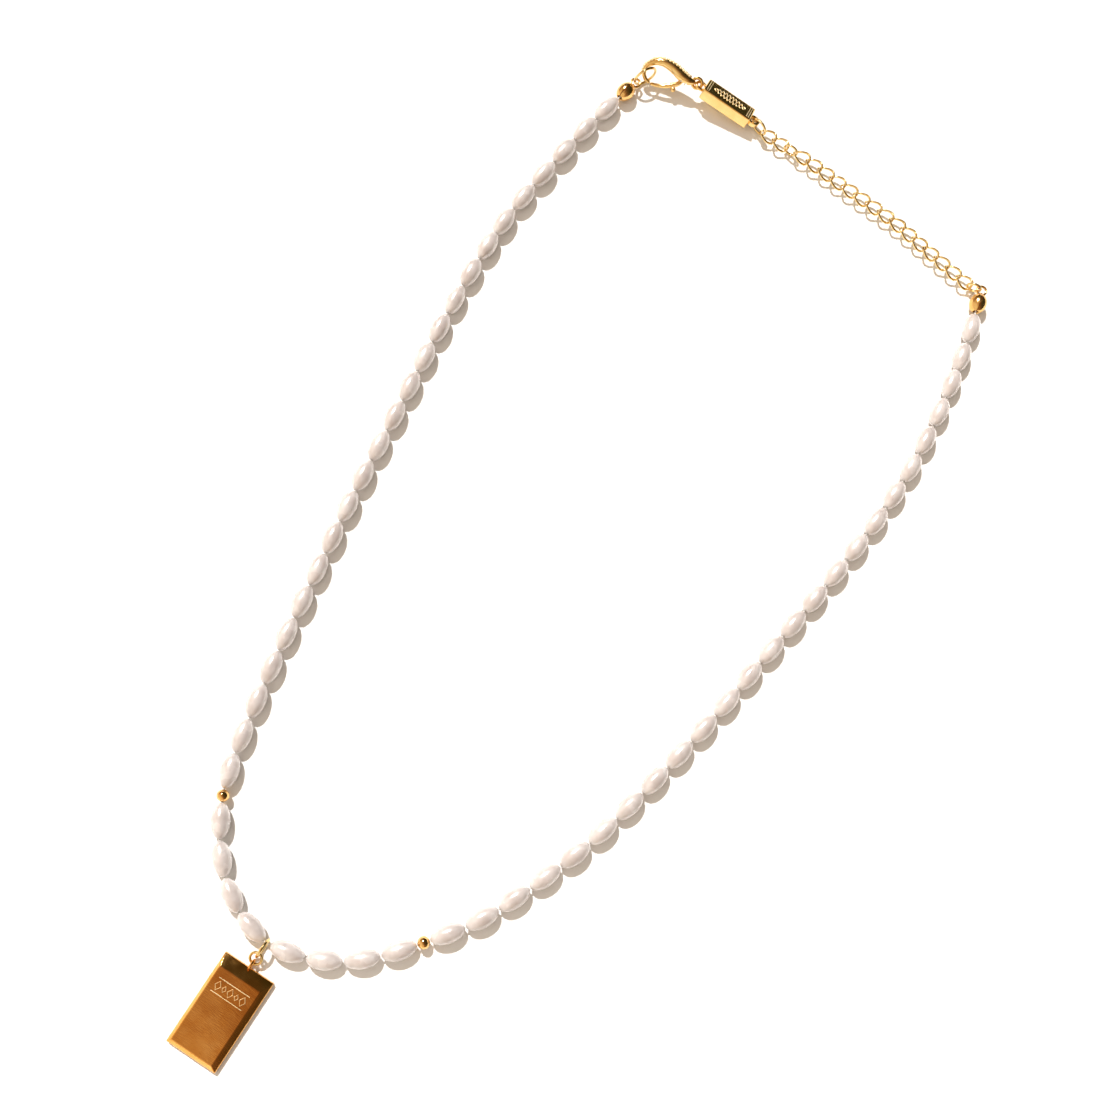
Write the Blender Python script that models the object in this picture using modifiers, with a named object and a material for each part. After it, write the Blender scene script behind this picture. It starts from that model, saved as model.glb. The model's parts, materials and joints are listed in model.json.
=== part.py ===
"""A pearl necklace with a bar pendant, laid out flat and fastened.

Metres, +Z up, z = 0 is the table.  Lengths below are in millimetres and are
multiplied by MM when objects are made.  The pendant is at -Y, the extender
chain and the clasp are at +Y.
"""
import math

import bmesh
import bpy
from mathutils import Matrix, Vector

MM = 0.001

# Pearls, beads and thread
PEARL_LENGTH = 5.8
PEARL_RADIUS = 1.6
PEARL_FULLNESS = 1.042      # how far the ellipse reaches past the flat tips
PEARL_GAP = 0.2
BORE_RADIUS = 0.35
THREAD_RADIUS = 0.175
GOLD_BEAD_RADIUS = 1.05
GOLD_BEAD_GAP = 0.15
AXIS_HEIGHT = 1.6
RUN_STATIONS = (-1.0, -0.82, -0.38, 0.38, 0.82, 1.0)
DRILLED_STATIONS = (-1.0, -0.86, -0.55, 0.0, 0.55, 0.86, 1.0)

# Room for the pendant ring between the two middle pearls
RING_ROOM_LEFT = 0.6
RING_ROOM_RIGHT = 0.7

# Chain and jump rings
CHAIN_WIRE = 0.44
CHAIN_SLACK = 0.12
LINK_HALF_LENGTH = 1.63
LINK_HALF_WIDTH = 1.1
LINK_TWIST = math.radians(90.0)
CHAIN_RING_RADIUS = 1.28
RING_SEAM = math.radians(5.0)
RING_POINTS = 15
LINK_POINTS = 12

# Crimp covers
COVER_RADIUS = 1.55
COVER_WALL = 0.3
COVER_GAP = 0.3
COVER_STRETCH = 1.25
COVER_SEAM = 0.16
COVER_MOUTH = 0.4
COVER_LOOP_RADIUS = 0.85
COVER_LOOP_WIRE = 0.44
CRIMP_RADIUS = 0.6
CRIMP_LENGTH = 1.1

# Clasp, in its own plane: x from the tail eye to the claw, y towards the gate
CLASP_EYE_RADIUS = 0.9
CLASP_EYE_WIRE = 0.6
CLAW_SPINE = (
    (0.75, 0.0, 0.5),
    (1.7, -0.1, 0.85),
    (3.2, -0.6, 1.1),
    (5.0, -1.6, 0.95),
    (6.9, -2.1, 0.78),
    (8.6, -1.8, 0.62),
    (9.8, -0.85, 0.5),
    (10.1, 0.35, 0.44),
    (9.6, 1.35, 0.38),
    (8.9, 1.8, 0.34),
)
GATE_SPINE = (
    (3.0, 0.5, 0.4),
    (3.7, 1.05, 0.46),
    (5.0, 1.6, 0.46),
    (6.6, 2.0, 0.4),
    (8.25, 2.05, 0.3),
)
GATE_PIVOT = (3.0, 0.15)
GATE_HUB_RADIUS = 0.55
GATE_WIDTH = 0.76
GATE_SLOT = 1.16
NUB_SPOT = (4.1, 2.05)
NUB_RADIUS = 0.52
PIN_RADIUS = 0.22
PIN_HOLE_RADIUS = 0.3
PIN_LENGTH = 1.7
SPRING_WIRE = 0.2
CLASP_EYE_SPOT = (-29.21, 93.05, 3.5)
CLASP_HEADING = math.radians(199.7)
CLASP_RISE = -0.05
CLASP_RING_RADIUS = 2.15
CLASP_RING_WIRE = 0.5
CLASP_RING_CENTRE = (-38.04, 89.03, 2.48)
CLASP_RING_HEADING = (0.474, 0.88, 0.0)
CLASP_LEAN = math.radians(126.0)

# Tag bar
TAG_CENTRE = (-22.6, 93.55, 2.54)
TAG_LENGTH = 10.2
TAG_WIDTH = 3.6
TAG_THICKNESS = 2.4
TAG_EDGE = 0.35
TAG_HEADING = math.radians(4.5)
TAG_PITCH = math.radians(8.5)
TAG_ROLL = math.radians(-20.0)
TAG_LOOP_RADIUS = 0.95
TAG_LOOP_WIRE = 0.56
TAG_LUG_RADIUS = 1.2
TAG_LUG_HOLE = 0.7
TAG_LUG_THICKNESS = 0.9
TAG_LUG_REACH = 0.75
TAG_RING_RADIUS = 1.6
TAG_RING_WIRE = 0.5
TAG_RING_HEIGHT = 1.9
END_RING_RADIUS = 1.22
END_RING_WIRE = 0.5

# Pendant
PENDANT_WIDTH = 9.2
PENDANT_LENGTH = 15.8
PENDANT_THICKNESS = 1.7
PENDANT_EDGE = 0.4
PENDANT_LOOP_HEIGHT = 1.2
PENDANT_TURN = math.radians(2.0)
PENDANT_LOOP_RADIUS = 0.75
PENDANT_LOOP_WIRE = 0.45
BAIL_RING_RADIUS = 1.52
BAIL_RING_WIRE = 0.55
SMALL_RING_RADIUS = 0.98
SMALL_RING_WIRE = 0.45
SMALL_RING_LEAN = math.radians(-20.0)

# Routes of the beads and of the chain, chosen by hand
LEFT_ROUTE = (
    (-1.7, -74.0), (-5.2, -73.6), (-10.9, -71.4), (-15.4, -67.8),
    (-19.2, -63.2), (-22.9, -56.2), (-26.2, -44.6), (-28.9, -33.0),
    (-31.3, -21.3), (-33.8, -9.4), (-35.9, 2.6), (-37.9, 14.5),
    (-40.0, 26.3), (-41.7, 38.2), (-42.6, 50.8), (-42.1, 62.6),
    (-41.1, 74.3), (-39.7, 82.8), (-38.8, 89.0),
)
RIGHT_ROUTE = (
    (-1.7, -74.0), (1.9, -73.4), (6.6, -71.5), (11.3, -68.5),
    (15.4, -64.2), (20.2, -58.0), (23.7, -52.9), (26.3, -47.4),
    (30.6, -36.2), (33.7, -24.7), (36.0, -12.6), (37.8, -1.2),
    (39.2, 10.8), (40.7, 22.8), (41.9, 34.8), (42.6, 46.8),
    (42.1, 59.0), (40.5, 70.8), (38.2, 82.1), (36.6, 87.2),
    (34.9, 92.0),
)
CHAIN_ROUTE = (
    (-18.0, 93.9), (-14.5, 93.3), (-10.0, 93.3), (-4.0, 93.5),
    (3.0, 93.2), (10.1, 93.0), (16.0, 92.7), (21.5, 91.9),
    (28.5, 90.9), (34.5, 90.2), (37.5, 89.9),
)
CHAIN_HEIGHT = 1.5
CHAIN_RING_PLACE = 2
ROUTE_STEPS = 60

# How far the middle of the outline lies from the routes' own zero
OUTLINE_MIDDLE = (0.0, 0.715, 0.0)

LEFT_UPPER_PEARLS = 16
LEFT_LOWER_PEARLS = 8
FRONT_PEARLS = 4
RIGHT_LOWER_PEARLS = 16
RIGHT_UPPER_PEARLS = 9
LEFT_CHAIN_COUNT = 7
RIGHT_CHAIN_COUNT = 11


# ---------------------------------------------------------------- scene
def clear_scene():
    for obj in list(bpy.data.objects):
        bpy.data.objects.remove(obj, do_unlink=True)
    for group in list(bpy.data.collections):
        bpy.data.collections.remove(group)


def new_collection(name):
    group = bpy.data.collections.new(name)
    bpy.context.scene.collection.children.link(group)
    return group


def make_material(name, colour, metallic, roughness):
    material = bpy.data.materials.new(name)
    material.use_nodes = True
    shader = material.node_tree.nodes["Principled BSDF"]
    shader.inputs["Base Color"].default_value = (*colour, 1.0)
    shader.inputs["Metallic"].default_value = metallic
    shader.inputs["Roughness"].default_value = roughness
    return material


def tilted(point, along, roll=0.0):
    """A placement whose X runs along a direction and whose Z stays upright."""
    x_axis = Vector(along).normalized()
    y_axis = Vector((0.0, 0.0, 1.0)).cross(x_axis).normalized()
    z_axis = x_axis.cross(y_axis)
    turn = Matrix((x_axis, y_axis, z_axis)).transposed().to_4x4()
    return Matrix.Translation(Vector(point) * MM) @ turn @ Matrix.Rotation(roll, 4, "X")


# ---------------------------------------------------------------- routes
def smooth_route(points):
    """A Catmull-Rom line through hand-picked points."""
    ends = [Vector(p) for p in points]
    first = ends[0] * 2 - ends[1]
    last = ends[-1] * 2 - ends[-2]
    knots = [first] + ends + [last]
    line = []
    for i in range(1, len(knots) - 2):
        a, b, c, d = knots[i - 1], knots[i], knots[i + 1], knots[i + 2]
        for step in range(ROUTE_STEPS):
            t = step / ROUTE_STEPS
            blend = b * 2 + (c - a) * t + (a * 2 - b * 5 + c * 4 - d) * t * t
            line.append((blend + (b * 3 - a - c * 3 + d) * t ** 3) * 0.5)
    line.append(ends[-1])
    return line


class Walker:
    """Steps along a route in straight strides of given lengths."""

    def __init__(self, line, index=0):
        self.line = line
        self.index = index
        self.spot = line[index].copy()

    def stride(self, length):
        i = self.index
        while (self.line[i] - self.spot).length < length:
            i += 1
        before = self.line[i - 1] if i > self.index + 1 else self.spot
        low, high = 0.0, 1.0
        for _ in range(40):
            middle = (low + high) / 2
            if (before.lerp(self.line[i], middle) - self.spot).length < length:
                low = middle
            else:
                high = middle
        start = self.spot
        self.spot = before.lerp(self.line[i], high)
        self.index = i - 1
        return start, self.spot.copy()


def level(point, height=AXIS_HEIGHT):
    return Vector((point[0], point[1], height))


# ---------------------------------------------------------------- builders
def link_object(name, data, placement, material):
    obj = bpy.data.objects.new(name, data)
    obj.matrix_world = placement
    data.materials.append(material)
    PARTS.objects.link(obj)
    return obj


def wire_curve(name, points, radii, wire, closed=False, resolution=1):
    """A round wire; radii scale the wire point by point."""
    data = bpy.data.curves.new(name, "CURVE")
    data.dimensions = "3D"
    data.bevel_mode = "ROUND"
    data.bevel_depth = wire * MM
    data.bevel_resolution = resolution
    data.use_fill_caps = not closed
    spline = data.splines.new("POLY")
    spline.points.add(len(points) - 1)
    for knot, point, radius in zip(spline.points, points, radii):
        knot.co = (point[0] * MM, point[1] * MM, point[2] * MM, 1.0)
        knot.radius = radius
    spline.use_cyclic_u = closed
    return data


def pearl_radius(share):
    return PEARL_RADIUS * math.sqrt(1.0 - (share / PEARL_FULLNESS) ** 2)


def pearl_run(name, spans, tail=0.0):
    """Several pearls joined on their stretch of thread, with an optional tail."""
    step = 0.02
    spots = []
    for number, (start, end) in enumerate(spans):
        middle = (start + end) / 2
        half = (end - start) / 2
        if number > 0:
            spots.append((start - half.normalized() * step, THREAD_RADIUS))
        for share in RUN_STATIONS:
            spots.append((middle + half * share, pearl_radius(share)))
        if number < len(spans) - 1 or tail:
            spots.append((end + half.normalized() * step, THREAD_RADIUS))
    if tail:
        half = (spans[-1][1] - spans[-1][0]).normalized()
        spots.append((spans[-1][1] + half * tail, THREAD_RADIUS))
    centre = level((spans[0][0] + spans[-1][1]) / 2)
    points = [level(p) - centre for p, _ in spots]
    radii = [r for _, r in spots]
    data = wire_curve(name, points, radii, 1.0, resolution=2)
    return link_object(name, data, Matrix.Translation(centre * MM), PEARL)


def turned(name, profile, steps, placement, material, closed=True, flip=False):
    """A profile in the XZ plane turned once about Z."""
    mesh = bpy.data.meshes.new(name)
    points = [(r * MM, 0.0, z * MM) for r, z in profile]
    edges = [(i, i + 1) for i in range(len(points) - 1)]
    if closed:
        edges.append((len(points) - 1, 0))
    mesh.from_pydata(points, edges, [])
    obj = link_object(name, mesh, placement, material)
    screw = obj.modifiers.new("Turn", "SCREW")
    screw.steps = steps
    screw.render_steps = steps
    screw.use_merge_vertices = True
    screw.merge_threshold = 0.00001
    screw.use_normal_calculate = True
    screw.use_normal_flip = flip
    return obj


def on_axis(point, along):
    """A placement whose Z runs along a direction."""
    return tilted(point, along) @ Matrix.Rotation(math.pi / 2, 4, "Y")


def drilled_pearl(name, start, end):
    half = PEARL_LENGTH / 2
    outer = [(pearl_radius(s), -s * half) for s in DRILLED_STATIONS]
    bore = [(BORE_RADIUS, -half), (BORE_RADIUS, half)]
    middle = level((start + end) / 2)
    along = level(end, 0.0) - level(start, 0.0)
    return turned(name, outer + bore, 10, on_axis(middle, along), PEARL)


def gold_bead(name, start, end):
    limit = math.acos(BORE_RADIUS / GOLD_BEAD_RADIUS)
    outer = []
    for step in range(7):
        angle = limit - step * limit / 3
        outer.append((GOLD_BEAD_RADIUS * math.cos(angle), GOLD_BEAD_RADIUS * math.sin(angle)))
    middle = level((start + end) / 2)
    along = level(end, 0.0) - level(start, 0.0)
    return turned(name, outer, 12, on_axis(middle, along), GOLD)


def thread_piece(name, spots):
    centre = level(spots[0].lerp(spots[-1], 0.5))
    points = [level(p) - centre for p in spots]
    data = wire_curve(name, points, [1.0] * len(points), THREAD_RADIUS, resolution=2)
    return link_object(name, data, Matrix.Translation(centre * MM), THREAD)


def jump_ring(name, radius, wire, placement, seam=0.0, material=None):
    """A round wire ring in the placement's XZ plane, its seam a hair open."""
    points = []
    for step in range(RING_POINTS):
        share = step / (RING_POINTS - 1)
        angle = seam + RING_SEAM / 2 + share * (2 * math.pi - RING_SEAM)
        points.append((radius * math.cos(angle), 0.0, radius * math.sin(angle)))
    data = wire_curve(name, points, [1.0] * len(points), wire / 2)
    return link_object(name, data, placement, material or GOLD)


def curb_link(name, placement):
    """An oval link given a quarter twist, so the chain lies flat."""
    points = []
    for step in range(LINK_POINTS):
        angle = 2 * math.pi * (step + 0.5) / LINK_POINTS
        reach = math.cos(angle)
        across = LINK_HALF_WIDTH * math.sin(angle)
        roll = LINK_TWIST / 2 * reach
        spot = (LINK_HALF_LENGTH * reach, across * math.cos(roll), across * math.sin(roll))
        points.append(spot)
    data = wire_curve(name, points, [1.0] * len(points), CHAIN_WIRE / 2, closed=True)
    return link_object(name, data, placement, GOLD)


def solid_copy(name, obj):
    """The finished mesh of a curve object, with doubles merged."""
    bpy.context.view_layer.update()
    graph = bpy.context.evaluated_depsgraph_get()
    mesh = bpy.data.meshes.new_from_object(obj.evaluated_get(graph))
    placement = obj.matrix_world.copy()
    material = obj.active_material
    bpy.data.objects.remove(obj, do_unlink=True)
    shell = bmesh.new()
    shell.from_mesh(mesh)
    bmesh.ops.remove_doubles(shell, verts=shell.verts, dist=1e-6)
    bmesh.ops.recalc_face_normals(shell, faces=shell.faces)
    shell.to_mesh(mesh)
    shell.free()
    mesh.materials.clear()
    return link_object(name, mesh, placement, material)


def make_cutter(obj):
    for group in list(obj.users_collection):
        group.objects.unlink(obj)
    CUTTERS.objects.link(obj)
    obj.hide_render = True
    obj.display_type = "WIRE"


def combine(obj, tool, operation):
    boolean = obj.modifiers.new(operation.title(), "BOOLEAN")
    boolean.operation = operation
    boolean.solver = "EXACT"
    boolean.object = tool
    make_cutter(tool)


def primitive(kind, name, placement, material, **sizes):
    getattr(bpy.ops.mesh, "primitive_" + kind + "_add")(**sizes)
    obj = bpy.context.active_object
    obj.name = name
    obj.data.name = name
    obj.matrix_world = placement
    obj.data.materials.append(material)
    for group in list(obj.users_collection):
        group.objects.unlink(obj)
    PARTS.objects.link(obj)
    return obj


def torus(name, placement, material, radius, wire, around=16, sides=6):
    return primitive(
        "torus", name, placement, material,
        major_radius=radius * MM, minor_radius=wire / 2 * MM,
        major_segments=around, minor_segments=sides,
    )


def cylinder(name, placement, material, radius, depth, vertices=16):
    return primitive(
        "cylinder", name, placement, material,
        radius=radius * MM, depth=depth * MM, vertices=vertices,
    )


def box(name, placement, material, size, edge=0.0, segments=1):
    obj = primitive("cube", name, placement, material, size=1.0)
    for vertex in obj.data.vertices:
        vertex.co = Vector([c * s * MM for c, s in zip(vertex.co, size)])
    if edge:
        bevel = obj.modifiers.new("Edges", "BEVEL")
        bevel.width = edge * MM
        bevel.segments = segments
    return obj


# ---------------------------------------------------------------- strands
def name_of(number):
    return "pearl_%02d" % number


def build_runs(spans, first_number, step, group, tail=0.0):
    """Pearl runs along a list of spans; numbers go up or down by step."""
    for start in range(0, len(spans), group):
        part = spans[start:start + group]
        ends = sorted((first_number + step * start, first_number + step * (start + len(part) - 1)))
        last = start + group >= len(spans)
        name = "pearls_%02d_to_%02d" % (ends[0], ends[1])
        pearl_run(name, part, tail if last else 0.0)


def build_front(walker, numbers, side, ring_room):
    """Four drilled pearls and a gold bead; gives the ends of each in turn."""
    walker.stride(ring_room)
    tips = []
    for number in numbers:
        start, end = walker.stride(PEARL_LENGTH)
        drilled_pearl(name_of(number), start, end)
        tips.append((start, end))
        last = number == numbers[-1]
        walker.stride(GOLD_BEAD_GAP if last else PEARL_GAP)
    depth = math.sqrt(GOLD_BEAD_RADIUS ** 2 - BORE_RADIUS ** 2)
    start, end = walker.stride(2 * depth)
    gold_bead("gold_bead_" + side, start, end)
    tips.append((start, end))
    walker.stride(GOLD_BEAD_GAP)
    return tips


def thread_through(name, tips):
    """Thread along the axes of the beads, just proud of the first and last."""
    spots = [spot for pair in tips for spot in pair]
    spots[0] = spots[0] - (spots[1] - spots[0]).normalized() * 0.05
    spots[-1] = spots[-1] + (spots[-1] - spots[-2]).normalized() * 0.05
    thread_piece(name, spots)


def build_spans(walker, count):
    spans = []
    for _ in range(count):
        spans.append(walker.stride(PEARL_LENGTH))
        walker.stride(PEARL_GAP)
    return spans


def build_cover(side, spans):
    """A folded crimp cover, the crimp bead in it and the loop on top."""
    start, end = spans[-1]
    along = (end - start).normalized()
    centre = end + along * (COVER_GAP + COVER_RADIUS * COVER_STRETCH)
    placement = on_axis(level(centre), level(along, 0.0))
    inner = COVER_RADIUS - COVER_WALL
    outer_low = math.acos(COVER_MOUTH / COVER_RADIUS)
    inner_low = math.acos(COVER_MOUTH / inner)
    profile = []
    for step in range(7):
        angle = math.pi / 2 - step * (math.pi / 2 + outer_low) / 6
        profile.append((COVER_RADIUS * math.cos(angle), COVER_RADIUS * math.sin(angle)))
    for step in range(6):
        angle = -inner_low + step * (math.pi / 2 + inner_low) / 5
        profile.append((inner * math.cos(angle), inner * math.sin(angle)))
    profile[0] = (0.0, COVER_RADIUS)
    profile[-1] = (0.0, inner)
    profile = [(r, z * COVER_STRETCH) for r, z in profile]
    cover = turned("crimp_cover_" + side, profile, 12, placement, GOLD, closed=False)
    reach = COVER_RADIUS * COVER_STRETCH + COVER_LOOP_RADIUS - 0.15
    loop = torus(
        "loop_tool_" + side,
        placement @ Matrix.Translation((0.0, 0.0, reach * MM)) @ Matrix.Rotation(math.pi / 2, 4, "Y"),
        GOLD, COVER_LOOP_RADIUS, COVER_LOOP_WIRE, 14, 6,
    )
    combine(cover, loop, "UNION")
    seam = box(
        "seam_tool_" + side,
        placement @ Matrix.Translation((0.0, 1.0 * MM, -0.3 * MM)),
        GOLD, (COVER_SEAM, 2.0, 2.6),
    )
    combine(cover, seam, "DIFFERENCE")
    half = CRIMP_LENGTH / 2
    inner_wall = THREAD_RADIUS + 0.06
    tube = [(CRIMP_RADIUS, half), (inner_wall, half), (inner_wall, -half), (CRIMP_RADIUS, -half)]
    turned("crimp_bead_" + side, tube, 10, placement, GOLD, flip=True)
    return centre + along * reach, along


# ---------------------------------------------------------------- clasp
def clasp_frame():
    heading = Vector((math.cos(CLASP_HEADING), math.sin(CLASP_HEADING), CLASP_RISE)).normalized()
    side = Vector((0.0, -1.0, 0.0))
    up = side * math.sin(CLASP_LEAN) + Vector((0.0, 0.0, math.cos(CLASP_LEAN)))
    up = (up - heading * up.dot(heading)).normalized()
    turn = Matrix((heading, up, heading.cross(up))).transposed().to_4x4()
    return Matrix.Translation(Vector(CLASP_EYE_SPOT) * MM) @ turn


def spine_curve(name, spine, placement, resolution):
    points = [(x, y, 0.0) for x, y, _ in spine]
    data = wire_curve(name, points, [r for _, _, r in spine], 1.0, resolution=resolution)
    return link_object(name, data, placement, GOLD)


def build_clasp():
    frame = clasp_frame()
    pivot = frame @ Matrix.Translation((GATE_PIVOT[0] * MM, GATE_PIVOT[1] * MM, 0.0))
    body = solid_copy("clasp_body", spine_curve("clasp_spine", CLAW_SPINE, frame, 2))
    combine(body, torus("eye_tool", frame, GOLD, CLASP_EYE_RADIUS, CLASP_EYE_WIRE, 16, 8), "UNION")
    slot = frame @ Matrix.Translation((3.35 * MM, 0.6 * MM, 0.0))
    combine(body, box("slot_tool", slot, GOLD, (3.0, 2.3, GATE_SLOT)), "DIFFERENCE")
    hole = cylinder("pin_hole_tool", pivot, GOLD, PIN_HOLE_RADIUS, 4.0, 12)
    combine(body, hole, "DIFFERENCE")

    gate = solid_copy("clasp_gate", spine_curve("gate_spine", GATE_SPINE, frame, 1))
    gate.data.transform(pivot.inverted() @ frame)
    gate.matrix_world = pivot
    hub = cylinder("hub_tool", pivot, GOLD, GATE_HUB_RADIUS, GATE_WIDTH, 12)
    combine(gate, hub, "UNION")
    nub_place = frame @ Matrix.Translation((NUB_SPOT[0] * MM, NUB_SPOT[1] * MM, 0.0))
    nub = primitive(
        "uv_sphere", "nub_tool", nub_place, GOLD,
        radius=NUB_RADIUS * MM, segments=8, ring_count=6,
    )
    combine(gate, nub, "UNION")
    combine(gate, cylinder("gate_hole_tool", pivot, GOLD, PIN_HOLE_RADIUS, 2.0, 12), "DIFFERENCE")
    cylinder("clasp_pin", pivot, STEEL, PIN_RADIUS, PIN_LENGTH, 12)

    coil = [(-0.76, -0.35, 0.0), (-0.84, 0.05, 0.0), (-0.82, 0.45, 0.0), (-0.7, 0.8, 0.0)]
    data = wire_curve("clasp_spring", coil, [1.0] * 4, SPRING_WIRE / 2)
    link_object("clasp_spring", data, pivot, STEEL)
    return frame


# ---------------------------------------------------------------- tag
def build_tag():
    heading = (math.cos(TAG_HEADING), math.sin(TAG_HEADING), -math.tan(TAG_PITCH))
    frame = tilted(TAG_CENTRE, heading, TAG_ROLL)
    half = TAG_LENGTH / 2
    bar = box("tag_bar", frame, GOLD, (TAG_LENGTH, TAG_WIDTH, TAG_THICKNESS), TAG_EDGE)
    loop_place = frame @ Matrix.Translation((-(half + 0.72) * MM, 0.0, 0.0))
    loop = torus("tag_loop_tool", loop_place, GOLD, TAG_LOOP_RADIUS, TAG_LOOP_WIRE, 14, 6)
    combine(bar, loop, "UNION")
    lug_place = frame @ Matrix.Translation(((half + TAG_LUG_REACH) * MM, 0.0, 0.0))
    lug = cylinder("tag_lug_tool", lug_place, GOLD, TAG_LUG_RADIUS, TAG_LUG_THICKNESS, 18)
    combine(bar, lug, "UNION")
    combine(bar, cylinder("tag_hole_tool", lug_place, GOLD, TAG_LUG_HOLE, 4.0, 14), "DIFFERENCE")
    return lug_place.translation / MM


# ---------------------------------------------------------------- pendant
def build_pendant(spot):
    bail_centre = Vector((spot[0], spot[1] - 0.9, AXIS_HEIGHT + 0.25))
    sideways = tilted(bail_centre, (0.0, -1.0, 0.0))
    jump_ring("bail_ring", BAIL_RING_RADIUS, BAIL_RING_WIRE, sideways, seam=math.radians(215.0))
    inner = bail_centre.y - BAIL_RING_RADIUS + BAIL_RING_WIRE / 2
    reach = SMALL_RING_RADIUS * math.cos(SMALL_RING_LEAN)
    rise = SMALL_RING_RADIUS * math.sin(-SMALL_RING_LEAN)
    small_centre = Vector((spot[0], inner + SMALL_RING_WIRE / 2 + 0.08 - reach, 0.0))
    small_centre.z = bail_centre.z - rise
    lean = Matrix.Rotation(SMALL_RING_LEAN, 4, "Y")
    flat = tilted(small_centre, (0.0, -1.0, 0.0)) @ lean.inverted() @ Matrix.Rotation(math.pi / 2, 4, "X")
    jump_ring("small_ring", SMALL_RING_RADIUS, SMALL_RING_WIRE, flat, seam=math.radians(90.0))
    low = small_centre.y - reach
    loop_centre = Vector((spot[0], 0.0, PENDANT_LOOP_HEIGHT))
    loop_centre.y = low - (PENDANT_LOOP_RADIUS - PENDANT_LOOP_WIRE / 2 - SMALL_RING_WIRE / 2 - 0.08)
    hinge = Matrix.Translation(loop_centre * MM) @ Matrix.Rotation(PENDANT_TURN, 4, "Z")
    middle = -PENDANT_LOOP_RADIUS + 0.12 - PENDANT_LENGTH / 2
    pendant = box(
        "pendant_bar", hinge, GOLD,
        (PENDANT_WIDTH, PENDANT_LENGTH, PENDANT_THICKNESS), PENDANT_EDGE,
    )
    sunk = PENDANT_LOOP_HEIGHT - PENDANT_THICKNESS / 2
    for vertex in pendant.data.vertices:
        vertex.co += Vector((0.0, middle * MM, -sunk * MM))
    loop = torus(
        "pendant_loop_tool", hinge @ Matrix.Rotation(math.pi / 2, 4, "Y"),
        GOLD, PENDANT_LOOP_RADIUS, PENDANT_LOOP_WIRE, 14, 6,
    )
    combine(pendant, loop, "UNION")


# ---------------------------------------------------------------- chain
def build_chain(start_spot):
    """Curb links both ways from the section joint, and the end rings."""
    route = smooth_route(CHAIN_ROUTE)
    near = min(range(len(route)), key=lambda i: abs(route[i].x - start_spot.x))
    reach = CHAIN_WIRE + CHAIN_SLACK
    link_pitch = 2 * LINK_HALF_LENGTH - reach
    ring_pitch = 2 * CHAIN_RING_RADIUS - reach

    back = Walker(list(reversed(route)), len(route) - 1 - near)
    for number in range(LEFT_CHAIN_COUNT, 0, -1):
        is_ring = number == CHAIN_RING_PLACE + 1
        b, a = back.stride(ring_pitch if is_ring else link_pitch)
        placement = tilted(level((a + b) / 2, CHAIN_HEIGHT), level(b - a, 0.0))
        if is_ring:
            name = "chain_ring_%02d" % number
            jump_ring(name, CHAIN_RING_RADIUS, CHAIN_WIRE, placement, math.radians(70.0))
        else:
            curb_link("chain_link_%02d" % number, placement)
    chain_start = level(back.spot, CHAIN_HEIGHT)

    ahead = Walker(route, near)
    for number in range(LEFT_CHAIN_COUNT + 1, LEFT_CHAIN_COUNT + RIGHT_CHAIN_COUNT + 1):
        a, b = ahead.stride(link_pitch)
        placement = tilted(level((a + b) / 2, CHAIN_HEIGHT), level(b - a, 0.0))
        curb_link("chain_link_%02d" % number, placement)
    return chain_start, level(ahead.spot, CHAIN_HEIGHT)


def build_end_rings(tag_hole, chain_start, cover_loop, chain_end):
    """The rings at the claw, at the tag and at the end of the chain."""
    across = tilted(CLASP_RING_CENTRE, CLASP_RING_HEADING)
    jump_ring("clasp_ring", CLASP_RING_RADIUS, CLASP_RING_WIRE, across, math.radians(100.0))
    along = level(chain_start - tag_hole, 0.0).normalized()
    centre = level(tag_hole, TAG_RING_HEIGHT) + along * TAG_RING_RADIUS
    jump_ring("tag_ring", TAG_RING_RADIUS, TAG_RING_WIRE, tilted(centre, along), math.radians(80.0))
    along = level(chain_end - level(cover_loop), 0.0).normalized()
    inside = COVER_LOOP_RADIUS - COVER_LOOP_WIRE / 2 - END_RING_WIRE / 2 - 0.08
    centre = level(cover_loop) + along * (inside + END_RING_RADIUS)
    jump_ring("end_ring", END_RING_RADIUS, END_RING_WIRE, tilted(centre, along), math.radians(100.0))
    return level(cover_loop) + along * (inside + 2 * END_RING_RADIUS)


# ---------------------------------------------------------------- build
clear_scene()
PARTS = new_collection("pearl_necklace")
CUTTERS = new_collection("cutters")
PEARL = make_material("pearl_coating", (0.86, 0.82, 0.79), 0.0, 0.22)
GOLD = make_material("gold_plate", (0.83, 0.61, 0.27), 1.0, 0.16)
THREAD = make_material("thread", (0.86, 0.84, 0.8), 0.0, 0.7)
STEEL = make_material("steel", (0.6, 0.58, 0.55), 1.0, 0.3)

left = Walker(smooth_route(LEFT_ROUTE))
pendant_spot = left.spot.copy()
left_tips = build_front(left, (28, 27, 26, 25), "left", RING_ROOM_LEFT)
lower = build_spans(left, LEFT_LOWER_PEARLS)
build_runs(lower, 24, -1, 4)
left_pivot = (left.spot + lower[-1][1]) / 2
upper = build_spans(left, LEFT_UPPER_PEARLS)
build_runs(upper, 16, -1, 4, tail=COVER_GAP + COVER_RADIUS * COVER_STRETCH + 0.6)
left_cover, left_along = build_cover("left", upper)

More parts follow.
